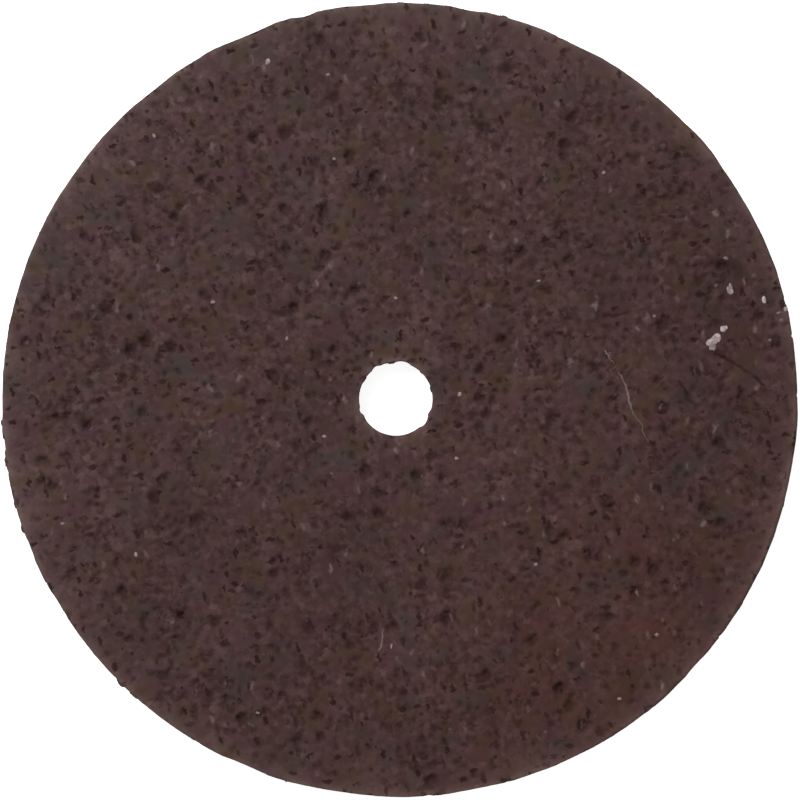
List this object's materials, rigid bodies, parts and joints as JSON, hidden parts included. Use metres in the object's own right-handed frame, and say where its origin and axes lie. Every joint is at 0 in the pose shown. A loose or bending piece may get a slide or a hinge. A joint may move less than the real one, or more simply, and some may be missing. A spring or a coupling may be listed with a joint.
{
  "type": "rotary tool cut-off wheel",
  "caption": "Thin flat resin-bonded abrasive disc with a central arbor hole, for cutting on a rotary tool's screw mandrel.",
  "frame": {"origin": "on the arbor hole's axis, at the lower face", "axes": "+Z along the arbor hole's axis, from the lower face to the upper one; +X and +Y in the plane of the disc, the rim's centre lying 0.13 mm off the hole's axis, 19 degrees from +X towards -Y"},
  "size_m": [0.024, 0.024, 0.001],
  "materials": {
    "bonded_abrasive": "matte grey-brown resin and aluminium oxide grain, open with dark pores"
  },
  "bodies": {
    "root": {"cutting_wheel": "bonded_abrasive"}
  },
  "joints": []
}
